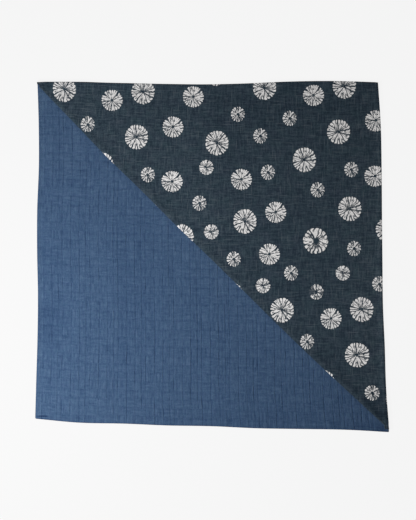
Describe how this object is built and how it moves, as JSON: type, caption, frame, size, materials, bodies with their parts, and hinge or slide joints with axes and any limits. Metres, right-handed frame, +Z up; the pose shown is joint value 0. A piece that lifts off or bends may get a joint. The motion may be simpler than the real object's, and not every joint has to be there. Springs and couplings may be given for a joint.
{
  "type": "pair of square wrapping cloths",
  "caption": "Square blue crinkled cotton cloth lying flat, with a dark tie-dye print cloth folded in half on its diagonal and laid over its upper right half.",
  "frame": {"origin": "middle of the cloths' outline, on the surface they lie on", "axes": "+X to the right and +Y to the top as the cloths lie in the picture, +Z up out of the surface; the fold runs from top left to bottom right"},
  "size_m": [0.5064, 0.5022, 0.0073],
  "materials": {
    "plain_cotton": "matt crinkled cotton, indigo blue",
    "print_cotton": "matt slub cotton, blue-black with white tie-dye rings"
  },
  "bodies": {
    "root": {"plain_cloth": "plain_cotton", "print_cloth": "print_cotton"}
  },
  "joints": []
}
